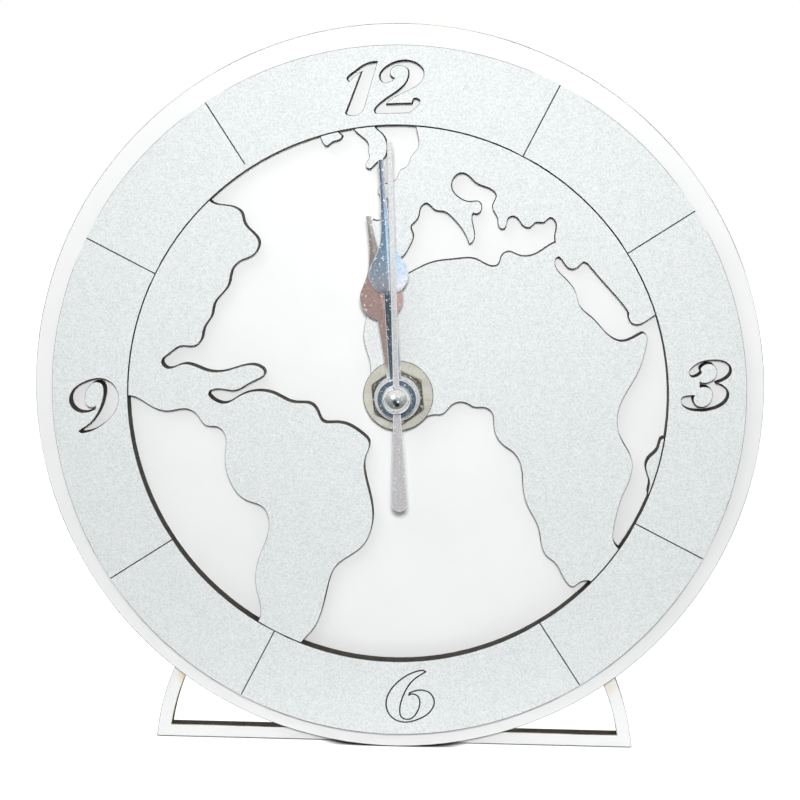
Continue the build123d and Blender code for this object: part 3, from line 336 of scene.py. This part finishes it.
def painted_light_up_hand(tree, plate, painted_light_stops):
    """Plating with painted reflections, light and shade that change up the height of a hand."""
    height = coordinate(tree, place_on_object(tree), "Z")
    share = spread(tree, height, 0.0, 1.0, HUB_HEIGHT, HUB_HEIGHT + PAINTED_LIGHT_REACH)
    stops = [(level / PAINTED_LIGHT_REACH, colour) for level, colour in painted_light_stops]
    return multiplied(tree, plate, shades(tree, share, stops))


def polished_metal(name, dull, bright, smooth, rough, metallic=1.0, painted_light_stops=(), specks=SPECKS):
    """Plated metal with a fine mottle and bright specks, and painted reflections, light and shade up its
    height where that is asked.
    """
    made, tree, shader = new_material(name)
    mottle = grain(tree, scale=2600.0, detail=3.0)
    dust = grain(tree, scale=2100.0, detail=1.0)
    plate = shades(tree, mottle, [(0.35, dull), (0.65, bright)])
    if painted_light_stops:
        plate = painted_light_up_hand(tree, plate, painted_light_stops)
    speck = shades(tree, mottle, [(0.35, (0.80, 0.82, 0.84)), (0.65, (0.98, 0.98, 0.98))])
    share = spread(tree, dust, 0.0, SPECK_COVER, specks, specks + SPECK_BLEND)
    tree.links.new(blended(tree, share, plate, speck), shader.inputs["Base Color"])
    roughen(tree, shader, mottle, smooth, rough)
    metal = spread(tree, share, metallic, SPECK_METAL * metallic, 0.0, SPECK_COVER)
    tree.links.new(metal, shader.inputs["Metallic"])
    relief(tree, shader, mottle, distance=0.000006, strength=0.5)
    return made


def brushed_washer():
    """Plated washer with fine scratches that run out from its middle."""
    made, tree, shader = new_material("brushed_washer")
    low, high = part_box("dial_washer")
    place = tree.nodes.new("ShaderNodeTexCoord")
    turn = tree.nodes.new("ShaderNodeMapping")
    turn.vector_type = "TEXTURE"
    turn.inputs["Location"].default_value = [(first + last) / 2 for first, last in zip(low, high)]
    turn.inputs["Rotation"].default_value = (pi / 2, 0.0, 0.0)
    tree.links.new(place.outputs["Object"], turn.inputs["Vector"])
    bearing = tree.nodes.new("ShaderNodeTexGradient")
    bearing.gradient_type = "RADIAL"
    tree.links.new(turn.outputs["Vector"], bearing.inputs["Vector"])
    scratches = tree.nodes.new("ShaderNodeTexNoise")
    scratches.noise_dimensions = "1D"
    scratches.inputs["Scale"].default_value = 70.0
    scratches.inputs["Detail"].default_value = 5.0
    tree.links.new(bearing.outputs["Fac"], scratches.inputs["W"])
    stain = grain(tree, scale=350.0, detail=3.0)
    lines = shades(tree, scratches.outputs["Fac"], [(0.30, (0.63, 0.62, 0.56)), (0.50, (0.67, 0.66, 0.60)),
                                                    (0.72, (0.72, 0.71, 0.66))])
    clean = shades(tree, stain, [(0.3, (0.82, 0.81, 0.78)), (0.65, (1.05, 1.05, 1.04))])
    tree.links.new(multiplied(tree, lines, clean), shader.inputs["Base Color"])
    roughen(tree, shader, stain, 0.30, 0.45)
    shader.inputs["Metallic"].default_value = 0.15
    relief(tree, shader, scratches.outputs["Fac"], distance=0.00002, strength=0.2)
    return made


def banded_metal(name, dark, light, axis, pitch):
    """Metal with even grooves along an axis, as on a thread or a winding."""
    made, tree, shader = new_material(name)
    grooves = bands(tree, axis, pitch)
    tarnish = grain(tree, scale=600.0, detail=3.0)
    deep = shades(tree, tarnish, [(0.3, dark), (0.7, light)])
    crest = (*light, 1.0)
    tree.links.new(blended(tree, grooves, deep, crest), shader.inputs["Base Color"])
    roughen(tree, shader, tarnish, 0.22, 0.36)
    shader.inputs["Metallic"].default_value = 1.0
    relief(tree, shader, grooves, distance=pitch / 2, strength=0.6)
    return made


def moulded_plastic(name, dark, light, smooth, rough, texture=MOULD_TEXTURE):
    """Moulded plastic with a fine spark-eroded texture."""
    made, tree, shader = new_material(name)
    fine = grain(tree, scale=texture, detail=2.0)
    flow = grain(tree, scale=60.0, detail=2.0)
    colour = shades(tree, flow, [(0.35, dark), (0.65, light)])
    tree.links.new(colour, shader.inputs["Base Color"])
    roughen(tree, shader, fine, smooth, rough)
    relief(tree, shader, fine, distance=0.00003, strength=0.5)
    return made


def cell_jacket():
    """Printed foil round a cell: bare metal ends, a copper band and a dark body."""
    made, tree, shader = new_material("cell_jacket")
    low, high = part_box("battery")
    along = spread(tree, coordinate(tree, place_on_object(tree), "X"), 0.0, 1.0, low[0], high[0])
    printed = shades(tree, along, [(0.0, (0.60, 0.60, 0.61)), (PRINT_START, (0.035, 0.037, 0.042)),
                                   (COPPER_START, (0.62, 0.36, 0.18)), (PRINT_END, (0.66, 0.66, 0.67))],
                     step=True)
    bare = shades(tree, along, [(0.0, (1.0, 1.0, 1.0)), (PRINT_START, (0.2, 0.2, 0.2)),
                                (COPPER_START, (0.7, 0.7, 0.7)), (PRINT_END, (1.0, 1.0, 1.0))], step=True)
    scuff = grain(tree, scale=700.0, detail=3.0)
    worn = shades(tree, scuff, [(0.3, (0.92, 0.92, 0.92)), (0.7, UNCHANGED)])
    tree.links.new(multiplied(tree, printed, worn), shader.inputs["Base Color"])
    tree.links.new(bare, shader.inputs["Metallic"])
    roughen(tree, shader, scuff, 0.22, 0.36)
    return made


SILVER = silver_lacquer()
WHITE = white_lacquer("white_lacquer")
STAND_WHITE = white_lacquer("stand_lacquer", BROWN_PATCHES)
BURNT = burnt_wall()
SILVER_EDGE = singed_edge("singed_silver", (0.12, 0.11, 0.09), (0.03, 0.027, 0.022), UNDERSIDE_SHADE)
WHITE_EDGE = singed_edge("singed_white", YELLOWED, SCORCHED, UNDERSIDE_SHADE)
STAND_EDGE = singed_edge("singed_stand", YELLOWED, SCORCHED, LIGHT_UNDERSIDE_SHADE)
# The hands' plates carry painted reflections, highlights and shade up their height.
MINUTE_METAL = polished_metal("minute_plate", (0.62, 0.64, 0.68), (0.92, 0.94, 0.98), 0.08, 0.18,
                              metallic=0.65, painted_light_stops=MINUTE_PAINTED_REFLECTIONS, specks=MINUTE_SPECKS)
HOUR_METAL = polished_metal("hour_plate", (0.66, 0.66, 0.66), (0.90, 0.90, 0.90), 0.08, 0.18,
                            metallic=0.3, painted_light_stops=HOUR_PAINTED_REFLECTIONS, specks=HOUR_SPECKS)
SECONDS_METAL = polished_metal("seconds_plate", (0.74, 0.75, 0.76), (0.98, 0.99, 1.0), 0.30, 0.48,
                               metallic=0.3, painted_light_stops=SECONDS_PAINTED_LIGHT)
# Painted highlight: near-white colour on the hands' rounded edges.
PAINTED_HIGHLIGHT_EDGE = polished_metal("painted_highlight_rim", (0.88, 0.88, 0.88), (0.96, 0.96, 0.96), 0.25, 0.40, metallic=0.3)
CHROME = polished_metal("chrome", (0.80, 0.81, 0.82), (0.90, 0.90, 0.90), 0.03, 0.07)
NUT_PLATE = polished_metal("nut_plate", (0.40, 0.36, 0.30), (0.62, 0.58, 0.50), 0.10, 0.20, metallic=0.85)
# Painted shade: dark colour on the rounded rims of the washer and the nut.
PAINTED_SHADE_RIM = polished_metal("painted_shade_rim_plate", (0.16, 0.14, 0.11), (0.30, 0.27, 0.22), 0.30, 0.45)
WASHER_PLATE = brushed_washer()
STEEL = polished_metal("steel", (0.50, 0.50, 0.51), (0.64, 0.64, 0.65), 0.25, 0.42)
BRASS = polished_metal("brass", (0.62, 0.47, 0.22), BRIGHT_BRASS, 0.20, 0.34)
THREAD = banded_metal("brass_thread", (0.40, 0.29, 0.13), BRIGHT_BRASS, "Y", THREAD_PITCH)
COPPER = banded_metal("copper_wire", (0.35, 0.14, 0.07), (0.75, 0.36, 0.18), "X", WIRE_PITCH)
CASE = moulded_plastic("case_plastic", (0.020, 0.020, 0.022), (0.028, 0.028, 0.030), 0.42, 0.60)
KNOB = moulded_plastic("knob_plastic", (0.035, 0.035, 0.037), (0.048, 0.048, 0.050), 0.35, 0.50)
GEAR = moulded_plastic("gear_plastic", (0.72, 0.72, 0.66), (0.80, 0.80, 0.75), 0.35, 0.50)
RUBBER = moulded_plastic("rubber", (0.018, 0.018, 0.018), (0.026, 0.026, 0.026), 0.70, 0.90)
BOARD = moulded_plastic("board_laminate", (0.03, 0.14, 0.06), (0.05, 0.19, 0.09), 0.30, 0.45)
RESIN = moulded_plastic("chip_resin", (0.01, 0.01, 0.01), (0.018, 0.018, 0.018), 0.20, 0.35, CHIP_TEXTURE)
MAGNET = moulded_plastic("magnet", (0.05, 0.05, 0.055), (0.08, 0.08, 0.085), 0.35, 0.55)
JACKET = cell_jacket()

body_of = {node: body for body, nodes in frame["record"]["behaviour"]["bodies"].items() for node in nodes}


def welded_mesh(node):
    """Editable copy of a solid's mesh, with its faces joined along their edges."""
    mesh = bmesh.new()
    mesh.from_mesh(frame["nodes"][node].data)
    bmesh.ops.remove_doubles(mesh, verts=mesh.verts, dist=WELD)
    mesh.normal_update()
    return mesh


def piece_from(mesh, name, node, materials, crease=CREASE):
    """Object that stands for a solid and moves with it."""
    data = bpy.data.meshes.new(name)
    mesh.to_mesh(data)
    mesh.free()
    for made in materials:
        data.materials.append(made)
    old_normals = data.attributes.get("custom_normal")
    if old_normals:
        data.attributes.remove(old_normals)
    data.shade_smooth()
    data.set_sharp_from_angle(angle=radians(crease))
    piece = bpy.data.objects.new(name, data)
    bpy.context.scene.collection.objects.link(piece)
    shading = piece.modifiers.new("even_shading", "WEIGHTED_NORMAL")
    shading.keep_sharp = True
    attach(piece, body_of[node])
    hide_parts(node)


def is_flat(face, axis):
    """Whether a face lies in the plane of the board."""
    return abs(face.normal[axis]) > FLAT_FACE


def is_cut(face, axis):
    """Whether a face is a wall of a cut that goes through the board."""
    levels = [vert.co[axis] for vert in face.verts]
    return abs(face.normal[axis]) < UPRIGHT_FACE and max(levels) - min(levels) > LOWEST_WALL


def spot_of(vert):
    """Place of a point, for finding its twin after a seam is opened."""
    return tuple(round(value, SPOT_DIGITS) for value in vert.co)


def cut_rims(mesh, axis, level):
    """Edges of the cuts on the board's face at one level, each with the direction its wall faces."""
    rims = {}
    for edge in mesh.edges:
        if all(abs(vert.co[axis] - level) < WELD for vert in edge.verts):
            walls = [face for face in edge.link_faces if is_cut(face, axis)]
            if walls and any(is_flat(face, axis) for face in edge.link_faces):
                rims[edge] = walls[0].normal.copy()
    return rims


def facing(rims):
    """Directions of the walls that meet in each point of the rims."""
    found = {}
    for edge, direction in rims.items():
        for vert in edge.verts:
            found.setdefault(spot_of(vert), []).append(direction)
    return found


def mitre(directions):
    """Step that moves a corner by one unit away from each of its walls."""
    middle = sum(directions, Vector()).normalized()
    return middle / max(SHARPEST_MITRE, middle.dot(directions[0]))


def lean_cuts(mesh, axis, level, width):
    """Lets the walls of the cuts lean out towards one face of the board."""
    directions = facing(cut_rims(mesh, axis, level))
    for vert in mesh.verts:
        spot = spot_of(vert)
        if spot in directions:
            vert.co += mitre(directions[spot]) * width


def singe_cuts(mesh, axis, level, inwards, width):
    """Narrow slope of singed lacquer along the cuts on one face of the board."""
    rims = cut_rims(mesh, axis, level)
    directions = facing(rims)
    seams = [[spot_of(vert) for vert in edge.verts] for edge in rims]
    bmesh.ops.split_edges(mesh, edges=list(rims))
    tops = {}
    feet = {}
    for vert in mesh.verts:
        spot = spot_of(vert)
        if spot in directions:
            side = tops if any(is_flat(face, axis) for face in vert.link_faces) else feet
            side[spot] = vert
    for spot, vert in tops.items():
        vert.co -= mitre(directions[spot]) * width
    for vert in feet.values():
        vert.co[axis] += inwards * width
    for first, second in seams:
        corners = [tops[first], tops[second], feet.get(second, tops[second]), feet.get(first, tops[first])]
        # A point that was not split is top and foot at once, and counts as one corner.
        slope = mesh.faces.new(dict.fromkeys(corners))
        slope.material_index = EDGE_SLOT


def laser_cut(node, axis, face_material, edge_material, singe, lean=0.0):
    """Board with burnt walls and a singed line along its cuts, which lean where that is asked."""
    mesh = welded_mesh(node)
    levels = [vert.co[axis] for vert in mesh.verts]
    low, high = min(levels), max(levels)
    for face in mesh.faces:
        depth = face.calc_center_median()[axis]
        outside = min(depth - low, high - depth) < WELD
        face.material_index = FACE_SLOT if outside else WALL_SLOT
    if lean:
        lean_cuts(mesh, axis, high, lean)
    else:
        singe_cuts(mesh, axis, high, inwards=-1, width=singe)
    singe_cuts(mesh, axis, low, inwards=1, width=singe)
    bmesh.ops.recalc_face_normals(mesh, faces=mesh.faces)
    piece_from(mesh, "cut_" + node, node, [face_material, BURNT, edge_material])


def softened(node, width, material, edge_material, crease=CREASE):
    """Copy of a solid with its sharp edges rounded off a little."""
    mesh = welded_mesh(node)
    bmesh.ops.dissolve_limit(mesh, angle_limit=radians(ONE_PLANE), verts=mesh.verts, edges=mesh.edges)
    sharp = [edge for edge in mesh.edges
             if len(edge.link_faces) == 2 and edge.calc_face_angle() > radians(SHARP)]
    made = bmesh.ops.bevel(mesh, geom=sharp, offset=width, segments=EDGE_STEPS, profile=ROUND_PROFILE,
                           affect="EDGES", clamp_overlap=True)
    for face in made["faces"]:
        face.material_index = ROUNDED_SLOT
    piece_from(mesh, "soft_" + node, node, [material, edge_material], crease)


def dress(nodes, material):
    """Material on solids that keep their shape."""
    for node in nodes:
        slots = frame["nodes"][node].data.materials
        slots.clear()
        slots.append(material)


for node in ("hour_ring", "six_inlay", "americas", "old_world", "polar_cape", "northern_island",
             "southern_island"):
    laser_cut(node, ACROSS_Y, SILVER, SILVER_EDGE, SILVER_SINGE, CUT_LEAN)
laser_cut("backing_disc", ACROSS_Y, WHITE, WHITE_EDGE, WHITE_SINGE)
laser_cut("stand_arch", ACROSS_Y, STAND_WHITE, STAND_EDGE, WHITE_SINGE)
laser_cut("rear_strut", ACROSS_X, WHITE, WHITE_EDGE, WHITE_SINGE)

softened("minute_hand", HAND_EDGE, MINUTE_METAL, PAINTED_HIGHLIGHT_EDGE, HAND_CREASE)
softened("hour_hand", HAND_EDGE, HOUR_METAL, PAINTED_HIGHLIGHT_EDGE, HAND_CREASE)
softened("seconds_hand", HAND_EDGE, SECONDS_METAL, PAINTED_HIGHLIGHT_EDGE, HAND_CREASE)
softened("dial_washer", METAL_EDGE, WASHER_PLATE, PAINTED_SHADE_RIM)
softened("hex_nut", METAL_EDGE, NUT_PLATE, PAINTED_SHADE_RIM)
softened("seconds_cap", METAL_EDGE, CHROME, CHROME)
softened("movement_cover", PLASTIC_EDGE, CASE, CASE)
softened("movement_case", PLASTIC_EDGE, CASE, CASE)

dress(["threaded_bush"], THREAD)
dress(["minute_arbor"], BRASS)
dress(["hour_wheel", "motion_wheel", "centre_wheel", "third_wheel", "intermediate_wheel",
       "middle_plate", "coil_bobbin", "seconds_wheel"], GEAR)
dress(["setting_knob"], KNOB)
dress(["rubber_washer"], RUBBER)
dress(["stator", "coil_core", "quartz_crystal", "positive_contact", "negative_contact"], STEEL)
dress(["coil_winding"], COPPER)
dress(["circuit_board"], BOARD)
dress(["clock_chip"], RESIN)
dress(["rotor"], MAGNET)
dress(["battery"], JACKET)


def pale_floor():
    """Pale surface that shows white to the camera and darkens close to the object."""
    made, tree, shader = new_material("pale_floor")
    cloud = grain(tree, scale=30.0, detail=2.0)
    colour = shades(tree, cloud, [(0.3, (0.86, 0.86, 0.86)), (0.7, (0.88, 0.88, 0.88))])
    openness = tree.nodes.new("ShaderNodeAmbientOcclusion")
    openness.inputs["Distance"].default_value = CONTACT_SHADE
    shade = shades(tree, openness.outputs["AO"], [(0.25, (0.02, 0.02, 0.02)), (0.65, UNCHANGED)])
    tree.links.new(multiplied(tree, colour, shade), shader.inputs["Base Color"])
    shader.inputs["Roughness"].default_value = 0.8
    glow = tree.nodes.new("ShaderNodeEmission")
    glow.inputs["Strength"].default_value = FLOOR_GLOW
    tree.links.new(shade, glow.inputs["Color"])
    path = tree.nodes.new("ShaderNodeLightPath")
    looks = tree.nodes.new("ShaderNodeMath")
    looks.operation = "MAXIMUM"
    tree.links.new(path.outputs["Is Camera Ray"], looks.inputs[0])
    mirrored = spread(tree, path.outputs["Is Glossy Ray"], 0.0, FLOOR_MIRROR_SHARE, 0.0, 1.0)
    tree.links.new(mirrored, looks.inputs[1])
    share = spread(tree, looks.outputs["Value"], 0.0, FLOOR_GLOW_SHARE, 0.0, 1.0)
    mix = tree.nodes.new("ShaderNodeMixShader")
    tree.links.new(share, mix.inputs["Fac"])
    tree.links.new(shader.outputs["BSDF"], mix.inputs[1])
    tree.links.new(glow.outputs["Emission"], mix.inputs[2])
    tree.links.new(mix.outputs["Shader"], tree.nodes["Material Output"].inputs["Surface"])
    return made


def floor():
    """Floor that the object stands on."""
    corners = [(-FLOOR_REACH, FLOOR_FRONT, FLOOR_LEVEL), (FLOOR_REACH, FLOOR_FRONT, FLOOR_LEVEL),
               (FLOOR_REACH, FLOOR_REACH, FLOOR_LEVEL), (-FLOOR_REACH, FLOOR_REACH, FLOOR_LEVEL)]
    data = bpy.data.meshes.new("floor")
    data.from_pydata(corners, [], [(0, 1, 2, 3)])
    data.materials.append(pale_floor())
    ground = bpy.data.objects.new("floor", data)
    bpy.context.scene.collection.objects.link(ground)


def patch(tree, place, direction, rim, core):
    """Share of a round patch of the surroundings, from its rim to its core in degrees."""
    nearness = tree.nodes.new("ShaderNodeVectorMath")
    nearness.operation = "DOT_PRODUCT"
    nearness.inputs[1].default_value = Vector(direction).normalized()
    tree.links.new(place, nearness.inputs[0])
    return spread(tree, nearness.outputs["Value"], 0.0, 1.0, cos(radians(rim)), cos(radians(core)))


def mirrored_room(tree):
    """Surroundings that polished metal shows: grey walls with two bright and two dark patches."""
    place = tree.nodes.new("ShaderNodeTexCoord").outputs["Generated"]
    height = spread(tree, coordinate(tree, place, "Z"), 0.0, 1.0, ROOM_FOOT, ROOM_TOP)
    room = shades(tree, height, [(0.0, (0.24, 0.26, 0.25)), (0.40, (0.36, 0.39, 0.37)),
                                 (0.70, (0.52, 0.55, 0.53)), (1.0, (0.90, 0.90, 0.90))])
    for bright, level in ((BRIGHT_WALL, BRIGHT_WALL_LEVEL), (WINDOW, WINDOW_LEVEL)):
        light = shades(tree, patch(tree, place, *bright), [(0.0, DARK), (1.0, (level, level, level))])
        room = blended(tree, 1.0, room, light, "ADD")
    inside = patch(tree, place, *DARK_ROOM)
    unlit = shades(tree, inside, [(0.0, UNCHANGED), (0.45, (0.60, 0.66, 0.72)),
                                  (0.75, (0.20, 0.26, 0.33)), (1.0, (0.14, 0.17, 0.20))])
    figure = shades(tree, patch(tree, place, *READER), [(0.0, UNCHANGED), (1.0, (0.10, 0.075, 0.07))])
    return multiplied(tree, multiplied(tree, room, unlit), figure)


def studio():
    """White surroundings for the camera, even light for dull surfaces and a plain room for mirrors."""
    world = bpy.data.worlds.new("studio")
    bpy.context.scene.world = world
    world.use_nodes = True
    tree = world.node_tree
    even = tree.nodes["Background"]
    even.inputs["Color"].default_value = WHITE_LIGHT
    even.inputs["Strength"].default_value = AMBIENT
    room = tree.nodes.new("ShaderNodeBackground")
    tree.links.new(mirrored_room(tree), room.inputs["Color"])
    room.inputs["Strength"].default_value = ROOM
    white = tree.nodes.new("ShaderNodeBackground")
    white.inputs["Color"].default_value = WHITE_LIGHT
    path = tree.nodes.new("ShaderNodeLightPath")
    mirrors = tree.nodes.new("ShaderNodeMixShader")
    tree.links.new(path.outputs["Is Glossy Ray"], mirrors.inputs["Fac"])
    tree.links.new(even.outputs["Background"], mirrors.inputs[1])
    tree.links.new(room.outputs["Background"], mirrors.inputs[2])
    seen = tree.nodes.new("ShaderNodeMixShader")
    tree.links.new(path.outputs["Is Camera Ray"], seen.inputs["Fac"])
    tree.links.new(mirrors.outputs["Shader"], seen.inputs[1])
    tree.links.new(white.outputs["Background"], seen.inputs[2])
    tree.links.new(seen.outputs["Shader"], tree.nodes["World Output"].inputs["Surface"])


def lamp(name, place, aim, size, power, beam):
    """Soft round lamp that points at a spot, with its beam's angle in degrees."""
    data = bpy.data.lights.new(name, "AREA")
    data.shape = "DISK"
    data.size = size
    data.energy = power
    data.spread = radians(beam)
    made = bpy.data.objects.new(name, data)
    made.location = place
    made.visible_glossy = False
    made.rotation_euler = (Vector(aim) - Vector(place)).to_track_quat("-Z", "Y").to_euler()
    bpy.context.scene.collection.objects.link(made)


def camera():
    """Camera at the photograph's place and angle."""
    data = bpy.data.cameras.new("camera")
    data.sensor_width = SENSOR_WIDTH
    data.lens = LENS
    data.clip_start = CAMERA_NEAR
    made = bpy.data.objects.new("camera", data)
    made.location = CAMERA_AT
    made.rotation_euler = Euler([radians(angle) for angle in CAMERA_TURN], "XYZ")
    bpy.context.scene.collection.objects.link(made)
    bpy.context.scene.camera = made


floor()
studio()
for name, values in LAMPS.items():
    lamp(name, *values)
camera()
bpy.context.scene.view_settings.view_transform = "Standard"
